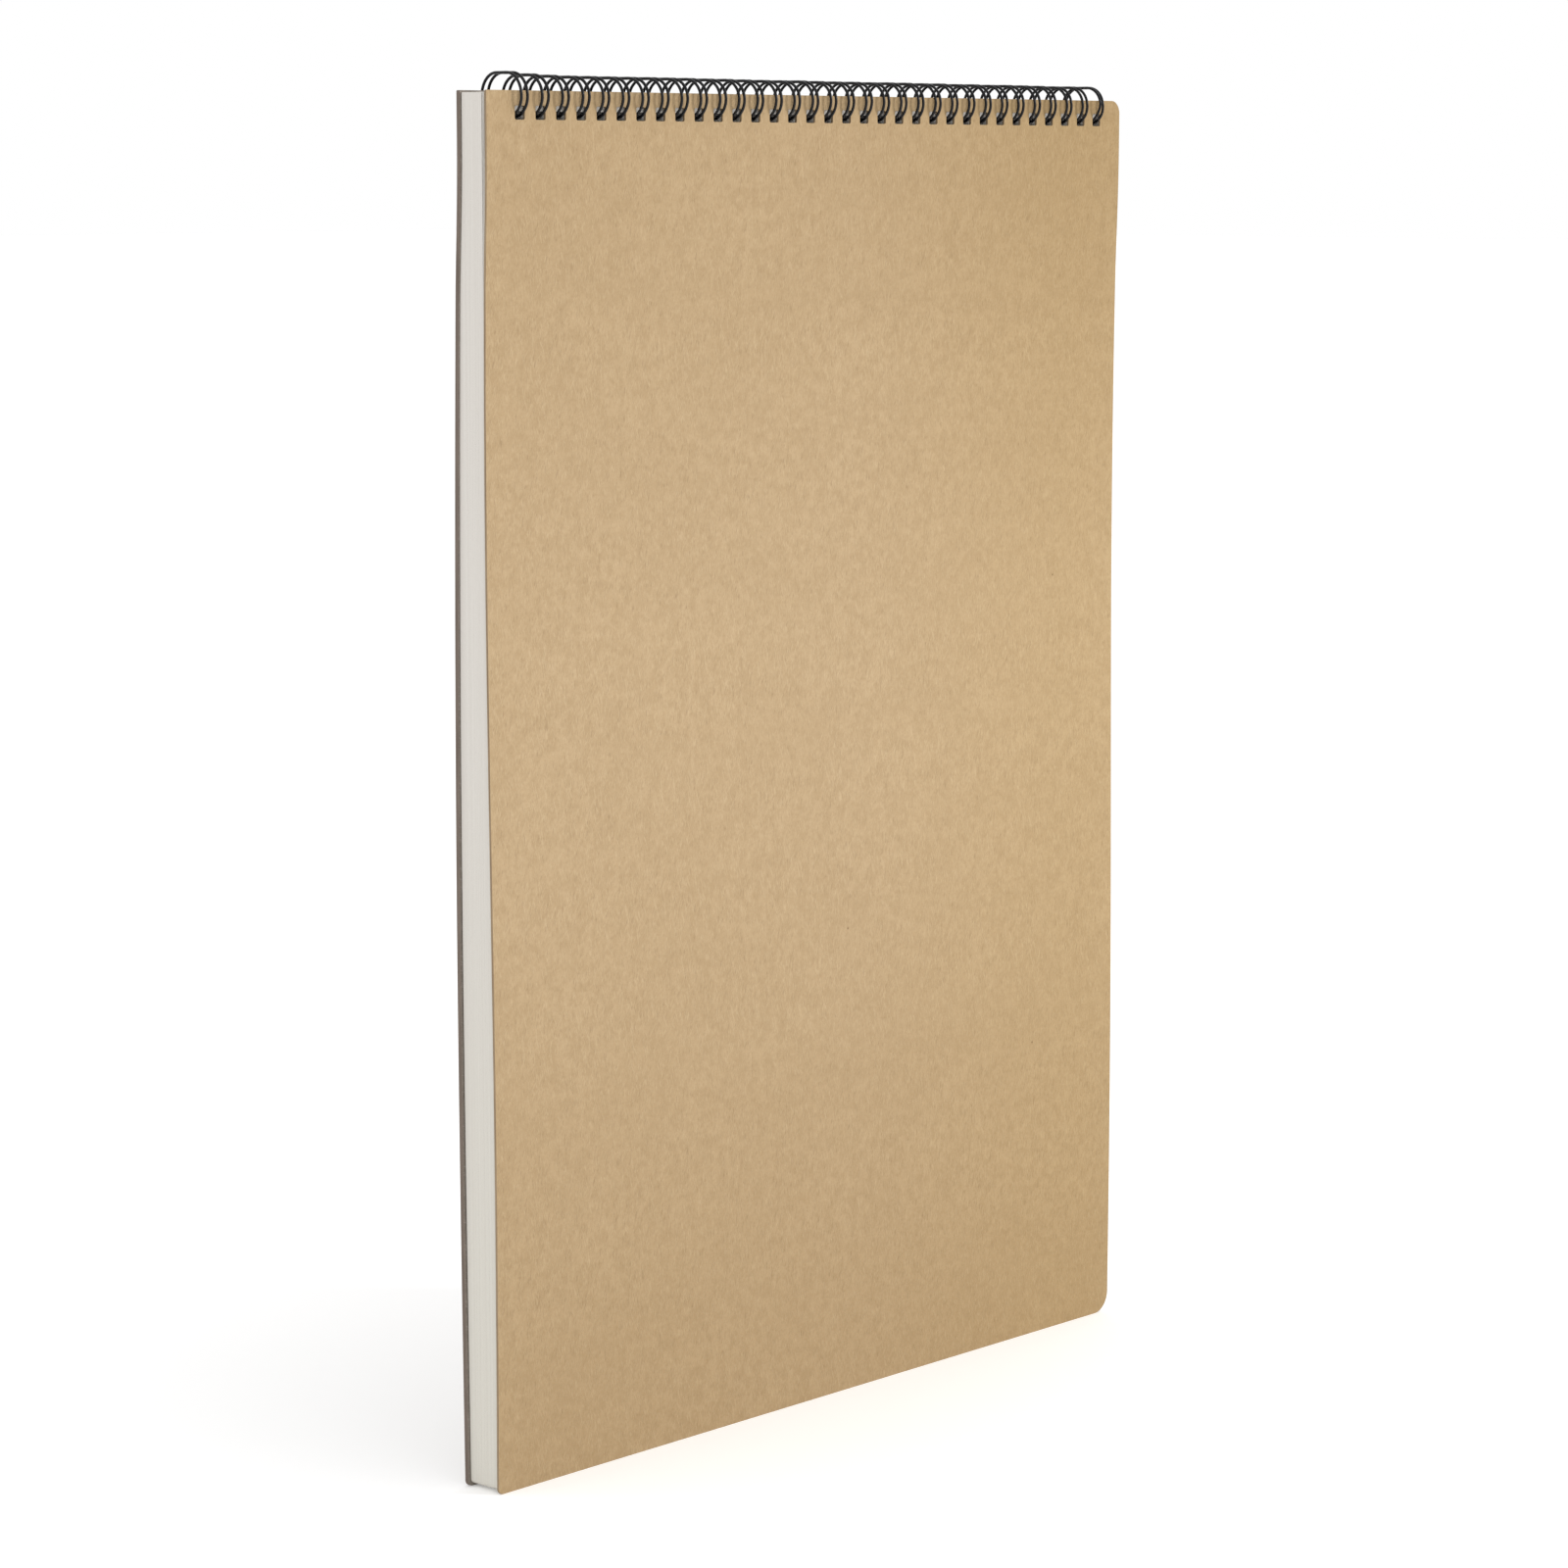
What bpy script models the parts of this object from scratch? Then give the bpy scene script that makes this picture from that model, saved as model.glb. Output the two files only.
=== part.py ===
"""An A3 sketchbook, bound along its short top edge with a black twin-loop wire.

The closed book stands upright on its lower edges: width along X, height along Z, front cover
towards -Y. The origin is at the middle of the footprint, on the surface the book stands on.
Lengths are in metres.
"""

import math

import bpy

# Covers: A3 board, kraft at the front and thicker grey board at the back.
BOOK_WIDTH = 0.297
BOOK_HEIGHT = 0.420
FRONT_THICKNESS = 0.0008
BACK_THICKNESS = 0.0014
BOOK_THICKNESS = 0.0125

# Corners: rounded on the right-hand side, close to square on the left.
LOWER_RIGHT_RADIUS = 0.0070
UPPER_RIGHT_RADIUS = 0.0042
UPPER_LEFT_RADIUS = 0.0004
LOWER_LEFT_RADIUS = 0.0018
LEAST_PAPER_RADIUS = 0.0003
CORNER_STEPS = 4
# Paper: cut slightly smaller than the covers, so that it never reaches past them.
PAPER_SIDE_INSET = 0.0005
PAPER_TOP_INSET = 0.0006
PAPER_FOOT_INSET = 0.0010
SHEET_THICKNESS = 0.0002
SHEET_BUNDLES = 6

# Free space between neighbours. The strip above the holes of a cover or sheet swings inwards as
# it turns, and further the nearer it lies to the hinge line, so the gaps widen inwards.
TURNING_SHEET_GAPS = (0.00025, 0.00025, 0.0003)
LAST_TURNING_GAP = 0.0004
BUNDLE_GAP = 0.0002
BACK_GAP = 0.00025

# Punched holes: three to the inch, the row a little nearer to the right-hand edge.
HOLE_COUNT = 33
HOLE_PITCH = 0.0254 / 3
HOLE_SIZE = 0.0041
HOLE_TOP_MARGIN = 0.0044
HOLE_ROW_OFFSET = 0.0005
# The sheets hang lower on the wire than the covers do.
PAPER_HOLE_DROP = 0.0015

# Wire: each hole takes a pair of legs of one continuous wire. A loop is an oval: a half circle
# round each side of the book, joined by straight stretches over its head and through the holes.
WIRE_RADIUS = 0.00045
WIRE_SIDES_RESOLUTION = 0
LEG_SPACING = 0.0025
RING_RADIUS = 0.0061
HALF_CIRCLE_OFFSET = 0.0022
RING_DROP = 0.0016
SEAM_ANGLE = math.radians(194)
ROOT_CORNER_RADIUS = 0.0012
TIP_OVERTRAVEL = 0.0003
LEG_SEGMENTS = 19
BEND_SEGMENTS = 4

# The front cover's holes ride round the front half circles, so its hinge line is their centre.
HINGE_Y = -HALF_CIRCLE_OFFSET
HINGE_Z = BOOK_HEIGHT - RING_DROP
FRONT_Y = -BOOK_THICKNESS / 2
BACK_Y = BOOK_THICKNESS / 2


def clear_scene():
    for old in list(bpy.data.objects):
        bpy.data.objects.remove(old, do_unlink=True)


def make_material(name, colour, roughness, metallic=0.0):
    material = bpy.data.materials.new(name)
    material.use_nodes = True
    shader = material.node_tree.nodes["Principled BSDF"]
    shader.inputs["Base Color"].default_value = (*colour, 1.0)
    shader.inputs["Roughness"].default_value = roughness
    shader.inputs["Metallic"].default_value = metallic
    return material


def add_empty(name, y, z, parent, collection):
    empty = bpy.data.objects.new(name, None)
    empty.empty_display_size = 0.02
    collection.objects.link(empty)
    empty.parent = parent
    empty.location = (0.0, y, z)
    return empty


def rounded_outline(side_inset, foot, head, least_radius):
    """A rectangle with round corners, as (x, z) points that run anticlockwise from lower right."""
    half = BOOK_WIDTH / 2 - side_inset
    corners = [
        (1, foot, 1, LOWER_RIGHT_RADIUS, -90),
        (1, head, -1, UPPER_RIGHT_RADIUS, 0),
        (-1, head, -1, UPPER_LEFT_RADIUS, 90),
        (-1, foot, 1, LOWER_LEFT_RADIUS, 180),
    ]
    points = []
    for side, z, inwards, cover_radius, start in corners:
        radius = max(cover_radius - side_inset, least_radius)
        centre_x = side * (half - radius)
        centre_z = z + inwards * radius
        for step in range(CORNER_STEPS + 1):
            turn = math.radians(start + 90 * step / CORNER_STEPS)
            x = centre_x + radius * math.cos(turn)
            points.append((x, centre_z + radius * math.sin(turn)))
    return points


def hole_centre(index):
    return HOLE_ROW_OFFSET + (index - (HOLE_COUNT - 1) / 2) * HOLE_PITCH


def hole_outline(index, drop):
    left = hole_centre(index) - HOLE_SIZE / 2
    head = BOOK_HEIGHT - HOLE_TOP_MARGIN - drop
    right = left + HOLE_SIZE
    foot = head - HOLE_SIZE
    return [(left, foot), (right, foot), (right, head), (left, head)]


def add_plate(name, outline, hole_drop, span, material, parent, collection):
    """A punched plate that fills the span of Y given. Its parent is an empty at x = 0."""
    near_y, far_y = span
    curve = bpy.data.curves.new(name, "CURVE")
    curve.dimensions = "2D"
    curve.fill_mode = "BOTH"
    curve.extrude = (far_y - near_y) / 2
    holes = [hole_outline(index, hole_drop) for index in range(HOLE_COUNT)]
    for points in [outline, *holes]:
        spline = curve.splines.new("POLY")
        spline.points.add(len(points) - 1)
        for point, (x, z) in zip(spline.points, points):
            point.co = (x, z - parent.location.z, 0.0, 1.0)
        spline.use_cyclic_u = True
    curve.materials.append(material)
    plate = bpy.data.objects.new(name, curve)
    collection.objects.link(plate)
    plate.parent = parent
    plate.location.y = (near_y + far_y) / 2 - parent.location.y
    plate.rotation_euler.x = math.radians(90)
    return plate


def ring_section():
    """One loop seen from the side, from the seam down round the book and back to the seam.

    The points are (y, height above the oval's centre). The straight stretches lie between the
    last point of one half circle and the first of the next.
    """
    points = []
    for degree in range(361):
        turn = SEAM_ANGLE + math.radians(degree)
        offset = math.copysign(HALF_CIRCLE_OFFSET, math.cos(turn))
        y = -RING_RADIUS * math.cos(turn) - offset
        points.append((y, RING_RADIUS * math.sin(turn)))
    return points


def distances_along(points):
    total = 0.0
    distances = [total]
    for (y0, z0), (y1, z1) in zip(points, points[1:]):
        total += math.hypot(y1 - y0, z1 - z0)
        distances.append(total)
    return distances


def point_at(distance, points, distances):
    """The point this far along a closed section. Short of its start, it comes in from the end."""
    distance %= distances[-1]
    index = 1
    while distances[index] < distance:
        index += 1
    before = distances[index - 1]
    share = (distance - before) / (distances[index] - before)
    (y0, z0), (y1, z1) = points[index - 1], points[index]
    return y0 + share * (y1 - y0), z0 + share * (z1 - z0)


def finger_path(centre, girth):
    """One finger of the wire laid flat, as (x, distance round the loop), from root to root."""
    half = LEG_SPACING / 2
    leg_foot = ROOT_CORNER_RADIUS
    leg_head = girth - TIP_OVERTRAVEL - half
    left = [(centre - half - ROOT_CORNER_RADIUS, 0.0)]
    turn = math.radians(45)
    side_step = ROOT_CORNER_RADIUS * (1 - math.sin(turn))
    left.append((centre - half - side_step, ROOT_CORNER_RADIUS * (1 - math.cos(turn))))
    for step in range(LEG_SEGMENTS + 1):
        share = step / LEG_SEGMENTS
        left.append((centre - half, leg_foot + share * (leg_head - leg_foot)))
    tip = []
    for step in range(1, BEND_SEGMENTS):
        turn = math.radians(180 - 180 * step / BEND_SEGMENTS)
        tip.append((centre + half * math.cos(turn), leg_head + half * math.sin(turn)))
    right = [(2 * centre - x, distance) for x, distance in reversed(left)]
    return left + tip + right


def add_wire(material, parent, collection):
    section = ring_section()
    distances = distances_along(section)
    girth = distances[-1]
    flat_path = []
    for index in range(HOLE_COUNT):
        flat_path += finger_path(hole_centre(index), girth)
    # The two ends of the wire are cut off where their legs leave the seam.
    flat_path = flat_path[2:-2]
    curve = bpy.data.curves.new("wire_binding", "CURVE")
    curve.dimensions = "3D"
    curve.bevel_depth = WIRE_RADIUS
    curve.bevel_resolution = WIRE_SIDES_RESOLUTION
    curve.use_fill_caps = True
    spline = curve.splines.new("POLY")
    spline.points.add(len(flat_path) - 1)
    for point, (x, distance) in zip(spline.points, flat_path):
        y, height = point_at(distance, section, distances)
        point.co = (x, y, height, 1.0)
    curve.materials.append(material)
    wire = bpy.data.objects.new("wire_binding", curve)
    collection.objects.link(wire)
    wire.parent = parent
    wire.location.z = HINGE_Z
    return wire


def build():
    clear_scene()
    collection = bpy.data.collections.new("sketchbook")
    bpy.context.scene.collection.children.link(collection)
    kraft = make_material("kraft_card", (0.53, 0.38, 0.22), 0.85)
    board = make_material("grey_board", (0.22, 0.19, 0.17), 0.9)
    paper = make_material("paper", (0.72, 0.69, 0.64), 0.9)
    coated_wire = make_material("black_wire", (0.02, 0.02, 0.022), 0.35)

    book = add_empty("sketchbook_origin", 0.0, 0.0, None, collection)
    cover_outline = rounded_outline(0.0, 0.0, BOOK_HEIGHT, 0.0)
    paper_outline = rounded_outline(
        PAPER_SIDE_INSET, PAPER_FOOT_INSET, BOOK_HEIGHT - PAPER_TOP_INSET, LEAST_PAPER_RADIUS
    )

    axis = add_empty("front_cover_axis", HINGE_Y, HINGE_Z, book, collection)
    span = (FRONT_Y, FRONT_Y + FRONT_THICKNESS)
    add_plate("front_cover", cover_outline, 0.0, span, kraft, axis, collection)
    near_y = FRONT_Y + FRONT_THICKNESS
    for number, gap in enumerate(TURNING_SHEET_GAPS, 1):
        near_y += gap
        name = f"sheet_{number}"
        axis = add_empty(f"{name}_axis", HINGE_Y, HINGE_Z, book, collection)
        span = (near_y, near_y + SHEET_THICKNESS)
        add_plate(name, paper_outline, PAPER_HOLE_DROP, span, paper, axis, collection)
        near_y += SHEET_THICKNESS

    near_y += LAST_TURNING_GAP
    stack_far_y = BACK_Y - BACK_THICKNESS - BACK_GAP
    all_gaps = (SHEET_BUNDLES - 1) * BUNDLE_GAP
    bundle_thickness = (stack_far_y - near_y - all_gaps) / SHEET_BUNDLES
    for number in range(1, SHEET_BUNDLES + 1):
        name = f"sheet_bundle_{number}"
        span = (near_y, near_y + bundle_thickness)
        add_plate(name, paper_outline, PAPER_HOLE_DROP, span, paper, book, collection)
        near_y += bundle_thickness + BUNDLE_GAP

    span = (BACK_Y - BACK_THICKNESS, BACK_Y)
    add_plate("back_cover", cover_outline, 0.0, span, board, book, collection)
    add_wire(coated_wire, book, collection)


build()
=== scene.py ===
"""Looks for an A3 sketchbook bound along its top edge with a black twin-loop wire.

Lengths are in metres, in the frame's own axes: width along X, height along Z, front cover
towards -Y. The boards, every sheet of paper and the wire are modelled here as single pieces.
"""

import math
import random

import bpy
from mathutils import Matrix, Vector


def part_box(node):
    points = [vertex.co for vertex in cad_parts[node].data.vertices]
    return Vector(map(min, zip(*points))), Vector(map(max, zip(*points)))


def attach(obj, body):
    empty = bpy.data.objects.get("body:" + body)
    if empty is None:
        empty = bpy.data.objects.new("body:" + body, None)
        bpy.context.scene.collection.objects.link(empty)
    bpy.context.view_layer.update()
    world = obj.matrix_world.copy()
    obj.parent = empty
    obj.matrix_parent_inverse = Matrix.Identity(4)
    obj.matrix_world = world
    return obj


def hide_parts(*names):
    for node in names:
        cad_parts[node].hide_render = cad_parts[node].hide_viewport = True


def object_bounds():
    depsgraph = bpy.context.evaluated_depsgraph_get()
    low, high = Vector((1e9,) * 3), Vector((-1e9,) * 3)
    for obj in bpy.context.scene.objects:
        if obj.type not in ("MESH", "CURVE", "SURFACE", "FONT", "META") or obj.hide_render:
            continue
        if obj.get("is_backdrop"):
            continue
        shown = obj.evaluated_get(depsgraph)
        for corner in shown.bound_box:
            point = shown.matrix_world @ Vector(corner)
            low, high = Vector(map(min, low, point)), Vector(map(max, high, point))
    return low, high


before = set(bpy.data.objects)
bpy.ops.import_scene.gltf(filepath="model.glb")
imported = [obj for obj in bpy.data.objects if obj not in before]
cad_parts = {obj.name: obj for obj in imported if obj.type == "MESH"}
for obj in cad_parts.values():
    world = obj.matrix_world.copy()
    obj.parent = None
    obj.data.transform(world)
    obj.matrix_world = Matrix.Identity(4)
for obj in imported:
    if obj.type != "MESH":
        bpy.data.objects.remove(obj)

CAD_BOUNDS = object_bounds()
BOOK_BODY = "book"
SHEET_NODES = ["sheet_1", "sheet_2", "sheet_3"]
BUNDLE_NODES = [f"sheet_bundle_{number}" for number in range(1, 7)]

COVER_LOW, COVER_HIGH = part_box("front_cover")
BACK_LOW, BACK_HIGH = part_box("back_cover")
FRONT_Y = COVER_LOW.y
BACK_Y = BACK_HIGH.y
HEAD_Z = COVER_HIGH.z

# Punched holes, as on the frame's plates. The covers' holes have round corners here.
HOLE_COUNT = 33
HOLE_PITCH = 0.0254 / 3
HOLE_SIZE = 0.0041
HOLE_TOP_MARGIN = 0.0044
HOLE_ROW_OFFSET = 0.0005
HOLE_CORNER = 0.0005
# The sheets hang lower on the wire than the covers do.
PAPER_HOLE_DROP = 0.0015

# Corner radii by side (-1 left, 1 right) and end (-1 foot, 1 head), as on the frame's plates.
CORNER_RADII = {(1, -1): 0.0070, (1, 1): 0.0042, (-1, 1): 0.0004, (-1, -1): 0.0018}
LEAST_PAPER_RADIUS = 0.0003

# Grids: the most room between two lines, and the steps round a corner.
COVER_SPACING = 0.006
SHEET_SPACING = 0.012
CORNER_LINES = 5
LINE_DIGITS = 7
TOLERANCE = 1e-6
SHARP_ANGLE = math.radians(60)
RIM_BEVEL_SHARE = 0.28
RIM_BEVEL_SEGMENTS = 2

# Bends of the closed book, towards +Y. They set in over BEND_EASING of its height, after
# BEND_DELAY of that stretch. The front cover waves, and the back one bows and stands off.
BEND_EASING = 0.12
BEND_DELAY = 0.2
FRONT_BULGE = 0.0009
FRONT_WAVE = 0.0008
BACK_BULGE = 0.0022
BACK_STAND_OFF = 0.0022

# Sheets: they keep the frame's places at the punched head and close up evenly below it.
BUNDLED_SHEETS = 41
SHEET_GAP = 0.000006
CLOSING_START = 0.012
CLOSING_LENGTH = 0.06
FOOT_DRIFT = 0.0004
SHEET_SIDE_SPREAD = 0.000012
SHEET_HEIGHT_SPREAD = 0.00005

# Wire: one continuous wire, two legs through each hole. A loop is an oval: a half circle round
# each side of the book, joined by straight stretches over its head and through the holes.
WIRE_RADIUS = 0.00045
WIRE_SIDES_RESOLUTION = 4
LEG_SPACING = 0.0025
RING_RADIUS = 0.0061
HALF_CIRCLE_OFFSET = 0.0022
RING_DROP = 0.0016
SEAM_ANGLE = math.radians(194)
ROOT_CORNER_RADIUS = 0.0012
TIP_OVERTRAVEL = 0.0003
LEG_SEGMENTS = 90
BEND_SEGMENTS = 14

# How the loops differ: the first ones stand higher, the right-hand ones lie closer to the book.
RAISED_LOOPS = (0.0009, 0.0003, 0.0001)
SUNK_LEFT = 0.00022
SUNK_RIGHT = 0.0003
NARROWED_BY = 0.0003
# The last loop is bent: its left leg stands forward, its right leg a little back.
LAST_LEG_SHIFTS = (-0.0009, 0.0001)
LEAN_SPREAD = 0.00008
TWIST_SPREAD = 0.00008
RISE_SPREAD = 0.00006
# The holes hold a loop from here down, in radii below the oval's centre.
HELD_BELOW = 0.75

CAMERA_PLACE = (-1.0480, -0.9400, 0.3974)
CAMERA_YAW = math.radians(47.74)
CAMERA_PITCH = math.radians(7.93)
CAMERA_LENS = 101.45
SENSOR_WIDTH = 36.0

KEY_PLACE = (2.40, -3.20, 1.55)
KEY_SIZE = 0.45
KEY_POWER = 80.0
SKY_STRENGTH = 1.0
FLOOR_SIZE = 40.0
FLOOR_GLOW = 0.16

# Finish colours, linear. A tint multiplies the colour under it.
KRAFT_LIGHT = (0.430, 0.309, 0.177)
KRAFT_DARK = (0.383, 0.270, 0.149)
KRAFT_GRAIN = (0.330, 0.227, 0.121)
KRAFT_FIBRE = (0.49, 0.365, 0.220)
KRAFT_SPECK = (0.17, 0.105, 0.05)
# Painted shade: this tint darkens the kraft towards its foot, its head and the head's right.
KRAFT_PAINTED_SHADE_TINT = (0.835, 0.81, 0.745)
KRAFT_WARM_TINT = (0.985, 0.965, 0.875)
KRAFT_EDGE_LIGHT = (0.36, 0.27, 0.175)
KRAFT_EDGE_DARK = (0.21, 0.145, 0.085)
KRAFT_LAYER = 0.00016
GREY_LIGHT = (0.275, 0.240, 0.205)
GREY_DARK = (0.225, 0.194, 0.163)
GREY_GRAIN = (0.150, 0.126, 0.104)
GREY_PALE_FIBRE = (0.46, 0.425, 0.385)
GREY_DARK_FIBRE = (0.085, 0.070, 0.058)
GREY_EDGE_LIGHT = (0.206, 0.165, 0.136)
GREY_EDGE_DARK = (0.127, 0.100, 0.082)
GREY_LAYER = 0.0002
PAPER_LIGHT = (0.665, 0.640, 0.598)
PAPER_DARK = (0.640, 0.614, 0.570)
PAPER_TOOTH = (0.58, 0.552, 0.505)
PAPER_EDGE_LIGHT = (0.670, 0.640, 0.596)
PAPER_EDGE_DARK = (0.635, 0.600, 0.555)
PAPER_FOOT_TINT = (0.955, 0.965, 0.933)
WIRE_BLACK = (0.004, 0.004, 0.005)
WIRE_WORN = (0.010, 0.010, 0.012)
FLOOR_WHITE = (0.95, 0.95, 0.95, 1.0)
LIGHT_WHITE = (1.0, 1.0, 1.0, 1.0)

rng = random.Random(7)


# ---------------------------------------------------------------- shader helpers


class Shader:
    """A new node material, with short calls for the nodes that the finishes share."""

    # How soft the edges of flecks and fibres are.
    FLECK_CORE = 0.4
    FLECK_CHOICE = 0.9
    FIBRE_EDGE = 0.08

    def __init__(self, name):
        self.material = bpy.data.materials.new(name)
        self.material.use_nodes = True
        self.nodes = self.material.node_tree.nodes
        self.links = self.material.node_tree.links
        self.principled = self.nodes["Principled BSDF"]
        coordinates = self.nodes.new("ShaderNodeTexCoord")
        self.place = coordinates.outputs["Object"]

    def set(self, name, value):
        self.principled.inputs[name].default_value = value

    def stretched(self, lengths, turn=0.0):
        """The place in cells of the given lengths, turned about Y, for grain that runs one way."""
        mapping = self.nodes.new("ShaderNodeMapping")
        mapping.vector_type = "TEXTURE"
        mapping.inputs["Rotation"].default_value = (0.0, turn, 0.0)
        mapping.inputs["Scale"].default_value = lengths
        self.links.new(self.place, mapping.inputs["Vector"])
        return mapping.outputs["Vector"]

    def noise(self, scale, detail, roughness, place=None):
        node = self.nodes.new("ShaderNodeTexNoise")
        node.inputs["Scale"].default_value = scale
        node.inputs["Detail"].default_value = detail
        node.inputs["Roughness"].default_value = roughness
        self.links.new(place or self.place, node.inputs["Vector"])
        return node.outputs["Fac"]

    def ramp(self, value, low, high, start=0.0, end=1.0):
        """value taken from low..high to start..end and held there."""
        node = self.nodes.new("ShaderNodeMapRange")
        node.interpolation_type = "SMOOTHSTEP"
        node.inputs["From Min"].default_value = low
        node.inputs["From Max"].default_value = high
        node.inputs["To Min"].default_value = start
        node.inputs["To Max"].default_value = end
        self.links.new(value, node.inputs["Value"])
        return node.outputs["Result"]

    def across(self, axis, start, end, most):
        """A mask that grows from 0 at start to most at end, along one axis of the object."""
        split = self.nodes.new("ShaderNodeSeparateXYZ")
        self.links.new(self.place, split.inputs["Vector"])
        return self.ramp(split.outputs[axis], start, end, 0.0, most)

    def specks(self, scale, share, size):
        """A mask of small flecks, one in each of a share of the cells of a Voronoi pattern."""
        cells = self.nodes.new("ShaderNodeTexVoronoi")
        cells.inputs["Scale"].default_value = scale
        self.links.new(self.place, cells.inputs["Vector"])
        near = self.ramp(cells.outputs["Distance"], size, size * self.FLECK_CORE)
        split = self.nodes.new("ShaderNodeSeparateColor")
        self.links.new(cells.outputs["Color"], split.inputs["Color"])
        chosen = self.ramp(split.outputs["Red"], share, share * self.FLECK_CHOICE)
        return self.math("MULTIPLY", near, chosen)

    def fibres(self, length, width, turn, scarcity):
        """A mask of thin strands that lie at one angle across the board."""
        grain = self.stretched((length, width, width), turn)
        strands = self.noise(scale=1.0, detail=2.0, roughness=0.5, place=grain)
        return self.ramp(strands, scarcity, scarcity + self.FIBRE_EDGE)

    def math(self, operation, first, second):
        node = self.nodes.new("ShaderNodeMath")
        node.operation = operation
        for socket, value in zip(node.inputs, (first, second)):
            if isinstance(value, float):
                socket.default_value = value
            else:
                self.links.new(value, socket)
        return node.outputs["Value"]

    def mix(self, share, first, second, blend="MIX"):
        """Colour first, turning to colour second where share is 1."""
        node = self.nodes.new("ShaderNodeMix")
        node.data_type = "RGBA"
        node.blend_type = blend
        sockets = {"Factor": share, "A": first, "B": second}
        for socket in node.inputs:
            value = sockets.get(socket.name)
            if value is None or not socket.enabled:
                continue
            if isinstance(value, tuple):
                socket.default_value = (*value, 1.0)
            else:
                self.links.new(value, socket)
        return next(out for out in node.outputs if out.enabled)

    def lay(self, mask, strength, colour, tone):
        """The colour with the tone laid over it, at this strength where the mask is 1."""
        return self.mix(self.math("MULTIPLY", mask, strength), colour, tone)

    def tint(self, share, colour, tone):
        """The colour, multiplied by the tone where share is 1."""
        return self.mix(share, colour, tone, "MULTIPLY")

    def finish(self, colour, roughness, heights):
        """Connects the colour, stacks the (height, distance) pairs as bump and sets the
        roughness, which is a number or a socket.
        """
        self.links.new(colour, self.principled.inputs["Base Color"])
        if isinstance(roughness, float):
            self.set("Roughness", roughness)
        else:
            self.links.new(roughness, self.principled.inputs["Roughness"])
        normal = None
        for height, distance in heights:
            bump = self.nodes.new("ShaderNodeBump")
            bump.inputs["Distance"].default_value = distance
            self.links.new(height, bump.inputs["Height"])
            if normal is not None:
                self.links.new(normal, bump.inputs["Normal"])
            normal = bump.outputs["Normal"]
        self.links.new(normal, self.principled.inputs["Normal"])
        return self.material


# ---------------------------------------------------------------- finishes


def kraft_face():
    shader = Shader("kraft_face")
    clouds = shader.noise(scale=22.0, detail=2.0, roughness=0.5)
    mottle = shader.noise(scale=270.0, detail=3.0, roughness=0.6)
    grain = shader.noise(scale=950.0, detail=4.0, roughness=0.7)
    colour = shader.mix(shader.ramp(mottle, 0.34, 0.66), KRAFT_DARK, KRAFT_LIGHT)
    colour = shader.mix(shader.ramp(clouds, 0.3, 0.7, 0.0, 0.4), colour, KRAFT_DARK)
    colour = shader.mix(shader.ramp(grain, 0.4, 0.7, 0.0, 0.36), colour, KRAFT_GRAIN)
    light_fibres = shader.fibres(length=0.0032, width=0.0004, turn=1.35, scarcity=0.56)
    colour = shader.lay(light_fibres, 0.45, colour, KRAFT_FIBRE)
    cross_fibres = shader.fibres(length=0.0030, width=0.0004, turn=2.1, scarcity=0.58)
    colour = shader.lay(cross_fibres, 0.35, colour, KRAFT_FIBRE)
    dark_fibres = shader.fibres(length=0.0028, width=0.00035, turn=1.75, scarcity=0.60)
    colour = shader.lay(dark_fibres, 0.28, colour, KRAFT_SPECK)
    flecks = shader.specks(scale=95.0, share=0.05, size=0.055)
    colour = shader.lay(flecks, 0.75, colour, KRAFT_SPECK)
    # Warmer to the right. Painted shade for the fall of the light: darker towards the foot and the
    # head, and darker at the head's right.
    warm = shader.across("X", start=0.0, end=0.14, most=0.8)
    colour = shader.tint(warm, colour, KRAFT_WARM_TINT)
    foot = shader.across("Z", start=0.23, end=-0.05, most=0.9)
    head = shader.across("Z", start=0.24, end=0.44, most=0.6)
    colour = shader.tint(shader.math("ADD", foot, head), colour, KRAFT_PAINTED_SHADE_TINT)
    right = shader.across("X", start=-0.03, end=0.14, most=1.0)
    colour = shader.tint(shader.math("MULTIPLY", head, right), colour, KRAFT_PAINTED_SHADE_TINT)
    shader.set("Specular IOR Level", 0.25)
    roughness = shader.ramp(grain, 0.3, 0.7, 0.72, 0.9)
    heights = [(mottle, 0.00006), (grain, 0.00005), (light_fibres, 0.00003)]
    return shader.finish(colour, roughness, heights)


def layered_edge(name, light, dark, layer):
    """The cut edge of a board: pressed layers that run along it, with torn fibres."""
    shader = Shader(name)
    along = shader.stretched((0.017, layer, 0.017))
    layers = shader.noise(scale=1.0, detail=3.0, roughness=0.6, place=along)
    torn = shader.noise(scale=1600.0, detail=4.0, roughness=0.7)
    colour = shader.mix(shader.ramp(layers, 0.35, 0.65), dark, light)
    colour = shader.mix(shader.ramp(torn, 0.5, 0.75, 0.0, 0.45), colour, dark)
    shader.set("Specular IOR Level", 0.2)
    return shader.finish(colour, 0.92, [(layers, 0.0001), (torn, 0.00006)])


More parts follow.
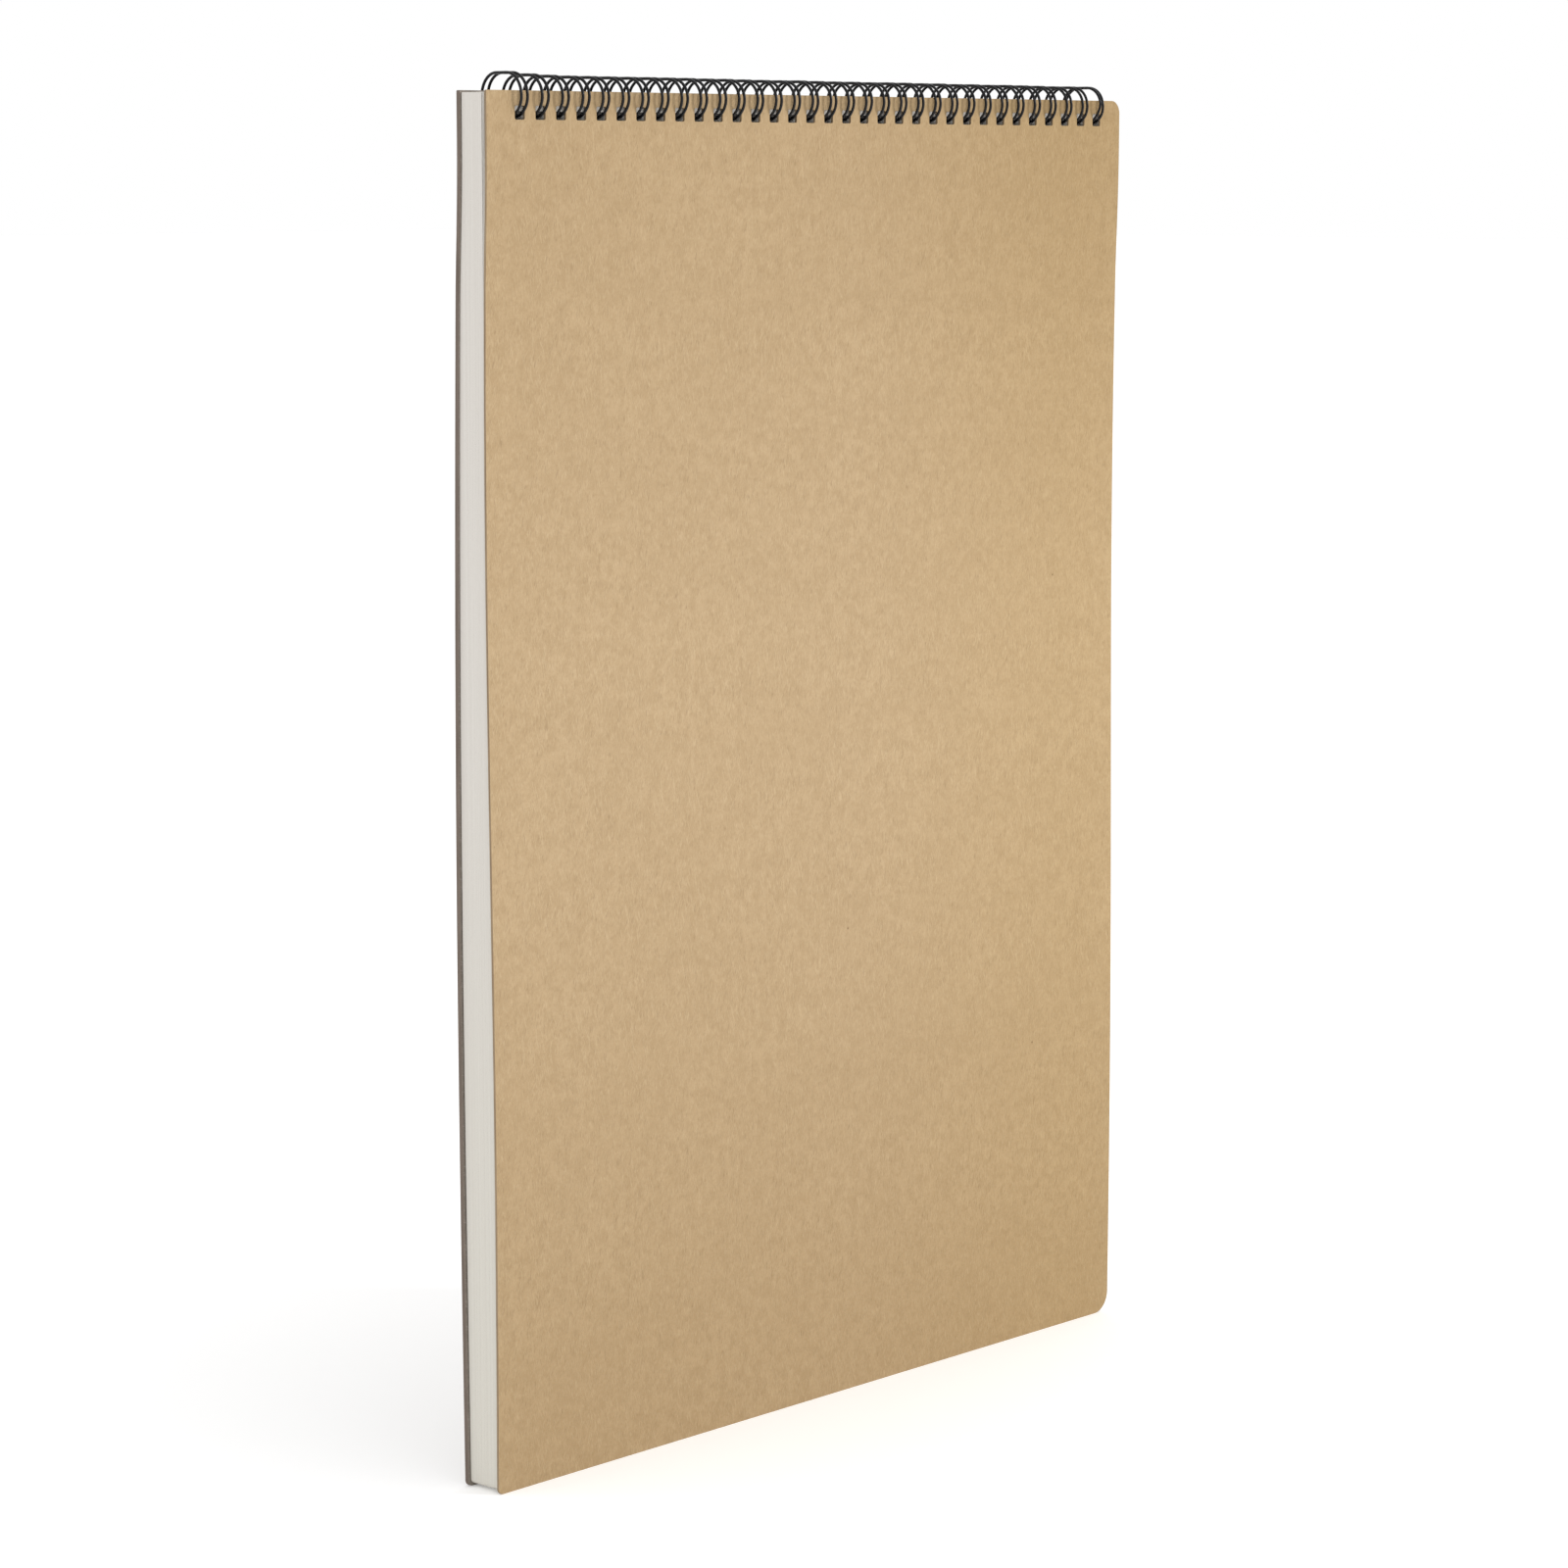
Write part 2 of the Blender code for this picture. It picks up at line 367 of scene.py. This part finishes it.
def grey_face():
    shader = Shader("grey_board_face")
    clouds = shader.noise(scale=130.0, detail=5.0, roughness=0.65)
    grain = shader.noise(scale=700.0, detail=5.0, roughness=0.7)
    colour = shader.mix(shader.ramp(clouds, 0.25, 0.75), GREY_DARK, GREY_LIGHT)
    colour = shader.mix(shader.ramp(grain, 0.4, 0.75, 0.0, 0.4), colour, GREY_GRAIN)
    pale_fibres = shader.fibres(length=0.0045, width=0.0003, turn=0.35, scarcity=0.60)
    colour = shader.lay(pale_fibres, 0.35, colour, GREY_PALE_FIBRE)
    dark_fibres = shader.fibres(length=0.0035, width=0.00028, turn=-1.1, scarcity=0.61)
    colour = shader.lay(dark_fibres, 0.4, colour, GREY_DARK_FIBRE)
    dark_flecks = shader.specks(scale=210.0, share=0.22, size=0.12)
    colour = shader.lay(dark_flecks, 0.6, colour, GREY_DARK_FIBRE)
    pale_flecks = shader.specks(scale=150.0, share=0.12, size=0.10)
    colour = shader.lay(pale_flecks, 0.5, colour, GREY_PALE_FIBRE)
    shader.set("Specular IOR Level", 0.2)
    roughness = shader.ramp(grain, 0.3, 0.7, 0.8, 0.95)
    return shader.finish(colour, roughness, [(clouds, 0.0001), (grain, 0.00007)])


def paper_face():
    shader = Shader("cartridge_paper")
    tooth = shader.noise(scale=1300.0, detail=4.0, roughness=0.65)
    felt = shader.noise(scale=420.0, detail=3.0, roughness=0.5)
    colour = shader.mix(shader.ramp(felt, 0.3, 0.7), PAPER_DARK, PAPER_LIGHT)
    colour = shader.mix(shader.ramp(tooth, 0.5, 0.8, 0.0, 0.3), colour, PAPER_TOOTH)
    shader.set("Specular IOR Level", 0.25)
    return shader.finish(colour, 0.88, [(tooth, 0.00004), (felt, 0.00004)])


def paper_edge():
    """The guillotined edge of the stack: each sheet a little lighter or darker than the next."""
    shader = Shader("paper_cut_edge")
    along = shader.stretched((0.33, 0.00025, 0.33))
    sheets = shader.noise(scale=1.0, detail=2.0, roughness=0.5, place=along)
    fibres = shader.noise(scale=1500.0, detail=4.0, roughness=0.7)
    colour = shader.mix(shader.ramp(sheets, 0.3, 0.7), PAPER_EDGE_DARK, PAPER_EDGE_LIGHT)
    colour = shader.mix(shader.ramp(fibres, 0.5, 0.8, 0.0, 0.3), colour, PAPER_EDGE_DARK)
    foot = shader.across("Z", start=0.28, end=0.0, most=1.0)
    colour = shader.tint(foot, colour, PAPER_FOOT_TINT)
    shader.set("Specular IOR Level", 0.2)
    return shader.finish(colour, 0.9, [(fibres, 0.00003)])


def coated_wire():
    shader = Shader("nylon_coated_wire")
    skin = shader.noise(scale=1400.0, detail=3.0, roughness=0.6)
    wear = shader.noise(scale=300.0, detail=4.0, roughness=0.6)
    colour = shader.mix(shader.ramp(wear, 0.4, 0.8), WIRE_BLACK, WIRE_WORN)
    roughness = shader.ramp(wear, 0.3, 0.7, 0.22, 0.34)
    shader.set("Specular IOR Level", 0.22)
    return shader.finish(colour, roughness, [(skin, 0.000008)])


def plain_floor():
    shader = Shader("studio_floor")
    shader.set("Base Color", FLOOR_WHITE)
    shader.set("Roughness", 0.9)
    shader.set("Specular IOR Level", 0.1)
    shader.set("Emission Color", LIGHT_WHITE)
    shader.set("Emission Strength", FLOOR_GLOW)
    return shader.material


# ---------------------------------------------------------------- punched boards and sheets


def hole_centre(index):
    return HOLE_ROW_OFFSET + (index - (HOLE_COUNT - 1) / 2) * HOLE_PITCH


def ease(value):
    """0 to 1 with a flat start and end."""
    value = min(max(value, 0.0), 1.0)
    return value * value * (3 - 2 * value)


def bow(z, share):
    """How far the closed book's layers bend towards +Y at height z. share is 0 at the front
    cover and 1 at the back one. Both start below the holes, and the book swells towards its foot.
    """
    fall = (HEAD_Z - z) / HEAD_Z
    onset = ease(fall / BEND_EASING - BEND_DELAY)
    front = FRONT_BULGE * math.sin(math.pi * fall) + FRONT_WAVE * math.sin(2 * math.pi * fall)
    back = BACK_STAND_OFF * fall + BACK_BULGE * math.sin(math.pi * fall)
    return onset * (front + share * (back - front))


def lines(low, high, marks, spacing):
    """The marks between low and high, with even steps added where two lie too far apart."""
    fixed = sorted({round(mark, LINE_DIGITS) for mark in [low, high, *marks]})
    placed = [fixed[0]]
    for left, right in zip(fixed, fixed[1:]):
        steps = max(1, math.ceil((right - left) / spacing - TOLERANCE))
        placed += [left + (right - left) * step / steps for step in range(1, steps + 1)]
    return placed


class PunchedSheet:
    """A flat grid with rounded outer corners and a row of square holes below its head.

    Radii are the outer corners' radii, by side and end, and hole_corner is the holes' own.
    """

    def __init__(self, half, foot, head, radii, spacing, hole_corner, hole_drop):
        self.half, self.foot, self.head, self.radii = half, foot, head, radii
        self.hole_head = HEAD_Z - HOLE_TOP_MARGIN - hole_drop
        self.hole_foot = self.hole_head - HOLE_SIZE
        self.holes = []
        for index in range(HOLE_COUNT):
            left = hole_centre(index) - HOLE_SIZE / 2
            self.holes.append((left, left + HOLE_SIZE))
        across, upright = self.outline_marks()
        for left, right in self.holes:
            across += [left, left + hole_corner, right - hole_corner, right]
        for inwards in (0.0, hole_corner):
            upright += [self.hole_foot + inwards, self.hole_head - inwards]
        self.xs = lines(-half, half, across, spacing)
        self.zs = lines(foot, head, upright, spacing)
        hole_inset = hole_corner * (1 - math.sqrt(0.5))
        self.points = [self.rounded(x, z, hole_inset) for z in self.zs for x in self.xs]
        self.faces = self.grid_faces()
        self.rim = self.open_edges()

    def outline_marks(self):
        """Where the grid needs lines for the outer corners, across and upright."""
        across, upright = [], []
        for (side, end), radius in self.radii.items():
            edge_z = self.head if end > 0 else self.foot
            for step in range(CORNER_LINES + 1):
                inwards = radius * step / CORNER_LINES
                across.append(side * (self.half - inwards))
                upright.append(edge_z - end * inwards)
        return across, upright

    def rounded(self, x, z, hole_inset):
        """A grid point, drawn in to the round corners of the outline or of a hole."""
        at_head = abs(z - self.hole_head) < TOLERANCE
        if at_head or abs(z - self.hole_foot) < TOLERANCE:
            upwards = -1 if at_head else 1
            for left, right in self.holes:
                if abs(x - left) < TOLERANCE:
                    return x + hole_inset, z + upwards * hole_inset
                if abs(x - right) < TOLERANCE:
                    return x - hole_inset, z + upwards * hole_inset
        side = 1 if x > 0 else -1
        end = 1 if z > (self.foot + self.head) / 2 else -1
        radius = self.radii[side, end]
        edge_z = self.head if end > 0 else self.foot
        u = (side * x - self.half) / radius + 1
        v = end * (z - edge_z) / radius + 1
        if u <= 0 or v <= 0:
            return x, z
        du = u * math.sqrt(1 - v * v / 2) - u
        dv = v * math.sqrt(1 - u * u / 2) - v
        return x + side * radius * du, z + end * radius * dv

    def grid_faces(self):
        """The grid's squares, without those that lie in a hole."""
        faces = []
        row = len(self.xs)
        for upper in range(1, len(self.zs)):
            middle_z = (self.zs[upper] + self.zs[upper - 1]) / 2
            in_row = self.hole_foot < middle_z < self.hole_head
            for right in range(1, row):
                middle_x = (self.xs[right] + self.xs[right - 1]) / 2
                if in_row and any(left < middle_x < end for left, end in self.holes):
                    continue
                low = (upper - 1) * row + right
                faces.append((low - 1, low, low + row, low + row - 1))
        return faces

    def open_edges(self):
        """The edges that only one face has, each in the direction its face runs."""
        seen = {}
        for face in self.faces:
            for a, b in zip(face, face[1:] + face[:1]):
                seen[a, b] = True
        return [(a, b) for a, b in seen if (b, a) not in seen]

    def add_solid(self, vertices, faces, slots, near, far):
        """Appends a closed sheet between the layers near and far, with the rim in slot 1."""
        start = len(vertices)
        count = len(self.points)
        vertices += [near(x, z) for x, z in self.points]
        vertices += [far(x, z) for x, z in self.points]
        for face in self.faces:
            faces.append(tuple(start + corner for corner in face))
            faces.append(tuple(start + count + corner for corner in reversed(face)))
            slots += [0, 0]
        for a, b in self.rim:
            faces.append((start + b, start + a, start + count + a, start + count + b))
            slots.append(1)


def add_piece(name, vertices, faces, materials):
    mesh = bpy.data.meshes.new(name)
    mesh.from_pydata(vertices, [], faces)
    for material in materials:
        mesh.materials.append(material)
    mesh.update()
    mesh.shade_smooth()
    piece = bpy.data.objects.new(name, mesh)
    bpy.context.scene.collection.objects.link(piece)
    return piece


def make_cover(name, node, body, materials):
    """A board of even thickness with a round rim. Its cut edge takes the second material."""
    low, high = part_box(node)
    thickness = high.y - low.y
    middle_y = (low.y + high.y) / 2
    share = 0.0 if node == "front_cover" else 1.0
    grid = PunchedSheet(high.x, low.z, high.z, CORNER_RADII, COVER_SPACING, HOLE_CORNER, 0.0)
    vertices = [(x, middle_y + bow(z, share), z) for x, z in grid.points]
    piece = add_piece(name, vertices, grid.faces, materials)
    solidify = piece.modifiers.new("thickness", "SOLIDIFY")
    solidify.thickness = thickness
    solidify.offset = 0.0
    solidify.material_offset_rim = 1
    bevel = piece.modifiers.new("rim", "BEVEL")
    bevel.width = thickness * RIM_BEVEL_SHARE
    bevel.segments = RIM_BEVEL_SEGMENTS
    bevel.material = 1
    bevel.limit_method = "ANGLE"
    bevel.angle_limit = SHARP_ANGLE
    bevel.harden_normals = True
    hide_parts(node)
    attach(piece, body)


def sheet_place(head_y, low_y):
    """Where one face of a sheet lies: head_y at the punched head, easing to low_y below it."""
    share = (low_y - FRONT_Y) / (BACK_Y - FRONT_Y)

    def place(x, z):
        fall = HEAD_Z - z
        closed = ease((fall - CLOSING_START) / CLOSING_LENGTH)
        y = head_y + (low_y - head_y) * closed + bow(z, share)
        return (x + FOOT_DRIFT * fall / HEAD_Z, y, z)

    return place


def add_sheet(grid, vertices, faces, slots, head_span, low_span):
    """One sheet, moved a hair sideways and upwards from its neighbours as real ones are."""
    shift_x = rng.uniform(-SHEET_SIDE_SPREAD, SHEET_SIDE_SPREAD)
    shift_z = rng.uniform(-SHEET_HEIGHT_SPREAD, SHEET_HEIGHT_SPREAD)
    places = [sheet_place(head, low) for head, low in zip(head_span, low_span)]

    def moved(place):
        return lambda x, z: tuple(Vector(place(x, z)) + Vector((shift_x, 0.0, shift_z)))

    grid.add_solid(vertices, faces, slots, *[moved(place) for place in places])


def sheet_piece(name, node, body, vertices, faces, slots, materials):
    """One piece of one or more sheets, whose thin rims aren't shaded round."""
    piece = add_piece(name, vertices, faces, materials)
    piece.data.polygons.foreach_set("material_index", slots)
    piece.data.update()
    edges = piece.modifiers.new("sharp_rim", "EDGE_SPLIT")
    edges.split_angle = SHARP_ANGLE
    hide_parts(node)
    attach(piece, body)


def low_span(number):
    """The faces of a sheet, counted from the front, where all lie evenly between the covers."""
    pitch = (BACK_LOW.y - COVER_HIGH.y) / (len(SHEET_NODES) + BUNDLED_SHEETS)
    start = COVER_HIGH.y + number * pitch
    return start + SHEET_GAP / 2, start + pitch - SHEET_GAP / 2


def make_turning_sheets(grid, paper):
    for number, node in enumerate(SHEET_NODES):
        low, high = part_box(node)
        vertices, faces, slots = [], [], []
        add_sheet(grid, vertices, faces, slots, (low.y, high.y), low_span(number))
        sheet_piece(f"page_{number + 1}", node, node, vertices, faces, slots, paper)


def make_bundled_sheets(grid, paper):
    """The other sheets, shared out over the frame's bundles."""
    stack_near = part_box(BUNDLE_NODES[0])[0].y
    stack_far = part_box(BUNDLE_NODES[-1])[1].y
    pitch = (stack_far - stack_near) / BUNDLED_SHEETS
    for index, node in enumerate(BUNDLE_NODES):
        first = round(index * BUNDLED_SHEETS / len(BUNDLE_NODES))
        last = round((index + 1) * BUNDLED_SHEETS / len(BUNDLE_NODES))
        vertices, faces, slots = [], [], []
        for number in range(first, last):
            start = stack_near + number * pitch
            head_span = (start + SHEET_GAP / 2, start + pitch - SHEET_GAP / 2)
            span = low_span(len(SHEET_NODES) + number)
            add_sheet(grid, vertices, faces, slots, head_span, span)
        name = f"page_stack_{index + 1}"
        sheet_piece(name, node, BOOK_BODY, vertices, faces, slots, paper)


def make_sheets(paper):
    low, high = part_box(SHEET_NODES[0])
    inset = COVER_HIGH.x - high.x
    radii = {
        corner: max(radius - inset, LEAST_PAPER_RADIUS) for corner, radius in CORNER_RADII.items()
    }
    grid = PunchedSheet(high.x, low.z, high.z, radii, SHEET_SPACING, 0.0, PAPER_HOLE_DROP)
    make_turning_sheets(grid, paper)
    make_bundled_sheets(grid, paper)


# ---------------------------------------------------------------- wire


def ring_section():
    """One loop seen from the side, from the seam down round the book and back to the seam.

    The points are (y, height above the oval's centre). The straight stretches lie between the
    last point of one half circle and the first of the next.
    """
    points = []
    for degree in range(361):
        turn = SEAM_ANGLE + math.radians(degree)
        offset = math.copysign(HALF_CIRCLE_OFFSET, math.cos(turn))
        y = -RING_RADIUS * math.cos(turn) - offset
        points.append((y, RING_RADIUS * math.sin(turn)))
    return points


def distances_along(points):
    total = 0.0
    distances = [total]
    for (y0, z0), (y1, z1) in zip(points, points[1:]):
        total += math.hypot(y1 - y0, z1 - z0)
        distances.append(total)
    return distances


def point_at(distance, points, distances):
    """The point this far along a closed section. Short of its start, it comes in from the end."""
    distance %= distances[-1]
    index = 1
    while distances[index] < distance:
        index += 1
    before = distances[index - 1]
    share = (distance - before) / (distances[index] - before)
    (y0, z0), (y1, z1) = points[index - 1], points[index]
    return y0 + share * (y1 - y0), z0 + share * (z1 - z0)


def finger_path(centre, girth):
    """One finger of the wire laid flat, as (x, distance round the loop), from root to root."""
    half = LEG_SPACING / 2
    leg_head = girth - TIP_OVERTRAVEL - half
    left = []
    for step in range(BEND_SEGMENTS + 1):
        turn = math.radians(90 * step / BEND_SEGMENTS)
        x = centre - half - ROOT_CORNER_RADIUS * (1 - math.sin(turn))
        left.append((x, ROOT_CORNER_RADIUS * (1 - math.cos(turn))))
    for step in range(1, LEG_SEGMENTS + 1):
        share = step / LEG_SEGMENTS
        distance = ROOT_CORNER_RADIUS + share * (leg_head - ROOT_CORNER_RADIUS)
        left.append((centre - half, distance))
    tip = []
    for step in range(1, BEND_SEGMENTS):
        turn = math.radians(180 - 180 * step / BEND_SEGMENTS)
        tip.append((centre + half * math.cos(turn), leg_head + half * math.sin(turn)))
    right = [(2 * centre - x, distance) for x, distance in reversed(left)]
    return left + tip + right


def loop_place(index):
    """How one loop stands: raised, narrowed, leaning or twisted above the holes that hold it."""
    centre = hole_centre(index)
    lean = rng.uniform(-LEAN_SPREAD, LEAN_SPREAD)
    twist = rng.uniform(-TWIST_SPREAD, TWIST_SPREAD)
    raised = rng.uniform(-RISE_SPREAD, RISE_SPREAD)
    raised -= SUNK_LEFT + (SUNK_RIGHT - SUNK_LEFT) * index / (HOLE_COUNT - 1)
    if index < len(RAISED_LOOPS):
        raised += RAISED_LOOPS[index]
    left_shift, right_shift = twist, -twist
    if index == HOLE_COUNT - 1:
        left_shift, right_shift = LAST_LEG_SHIFTS
    middle = HOLE_COUNT // 2
    narrowed = NARROWED_BY * max(0, index - middle) / middle

    def place(x, y, height):
        above = max(0.0, height / RING_RADIUS)
        free = ease(height / RING_RADIUS + HELD_BELOW)
        side = y / (RING_RADIUS + HALF_CIRCLE_OFFSET)
        rightwards = min(max((x - centre) / LEG_SPACING + 0.5, 0.0), 1.0)
        shift = left_shift + (right_shift - left_shift) * rightwards
        moved_y = y + (shift - narrowed * side) * free
        return (x + lean * free, moved_y, height + raised * above + HEAD_Z - RING_DROP)

    return place


def make_wire(material):
    section = ring_section()
    distances = distances_along(section)
    girth = distances[-1]
    path = []
    for index in range(HOLE_COUNT):
        place = loop_place(index)
        for x, distance in finger_path(hole_centre(index), girth):
            path.append(place(x, *point_at(distance, section, distances)))
    # The two ends of the wire are cut off where their legs leave the seam.
    path = path[BEND_SEGMENTS:-BEND_SEGMENTS]
    curve = bpy.data.curves.new("wire_loops", "CURVE")
    curve.dimensions = "3D"
    curve.bevel_depth = WIRE_RADIUS
    curve.bevel_resolution = WIRE_SIDES_RESOLUTION
    curve.use_fill_caps = True
    spline = curve.splines.new("POLY")
    spline.points.add(len(path) - 1)
    for point, place in zip(spline.points, path):
        point.co = (*place, 1.0)
    spline.use_smooth = True
    curve.materials.append(material)
    wire = bpy.data.objects.new("wire_loops", curve)
    bpy.context.scene.collection.objects.link(wire)
    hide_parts("wire_binding")
    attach(wire, BOOK_BODY)


# ---------------------------------------------------------------- stage


def make_camera():
    data = bpy.data.cameras.new("photo_camera")
    data.lens = CAMERA_LENS
    data.sensor_width = SENSOR_WIDTH
    camera = bpy.data.objects.new("photo_camera", data)
    camera.location = CAMERA_PLACE
    camera.rotation_euler = (math.radians(90) - CAMERA_PITCH, 0.0, -CAMERA_YAW)
    bpy.context.scene.collection.objects.link(camera)
    bpy.context.scene.camera = camera


def make_key_light():
    """A round soft light, aimed at the middle of the book."""
    data = bpy.data.lights.new("key", "AREA")
    data.shape = "DISK"
    data.size = KEY_SIZE
    data.energy = KEY_POWER
    light = bpy.data.objects.new("key", data)
    light.location = KEY_PLACE
    aim = Vector((0.0, 0.0, HEAD_Z / 2)) - Vector(KEY_PLACE)
    light.rotation_euler = aim.to_track_quat("-Z", "Y").to_euler()
    bpy.context.scene.collection.objects.link(light)


def make_stage():
    bpy.ops.mesh.primitive_plane_add(size=FLOOR_SIZE)
    floor = bpy.context.active_object
    floor.name = "studio_floor"
    floor.data.materials.append(plain_floor())
    floor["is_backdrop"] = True
    world = bpy.data.worlds.new("studio")
    world.use_nodes = True
    background = world.node_tree.nodes["Background"]
    background.inputs["Color"].default_value = LIGHT_WHITE
    background.inputs["Strength"].default_value = SKY_STRENGTH
    bpy.context.scene.world = world
    make_key_light()
    bpy.context.scene.view_settings.view_transform = "Standard"


def build():
    kraft_edge = layered_edge("kraft_cut_edge", KRAFT_EDGE_LIGHT, KRAFT_EDGE_DARK, KRAFT_LAYER)
    kraft = [kraft_face(), kraft_edge]
    grey_edge = layered_edge("grey_cut_edge", GREY_EDGE_LIGHT, GREY_EDGE_DARK, GREY_LAYER)
    grey = [grey_face(), grey_edge]
    make_cover("front_board", "front_cover", "front_cover", kraft)
    make_cover("back_board", "back_cover", BOOK_BODY, grey)
    make_sheets([paper_face(), paper_edge()])
    make_wire(coated_wire())
    make_camera()
    make_stage()


def write_sizes():
    corners = {"cad": CAD_BOUNDS, "visual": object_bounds()}
    plain = {name: [list(map(float, corner)) for corner in box] for name, box in corners.items()}


build()
write_sizes()
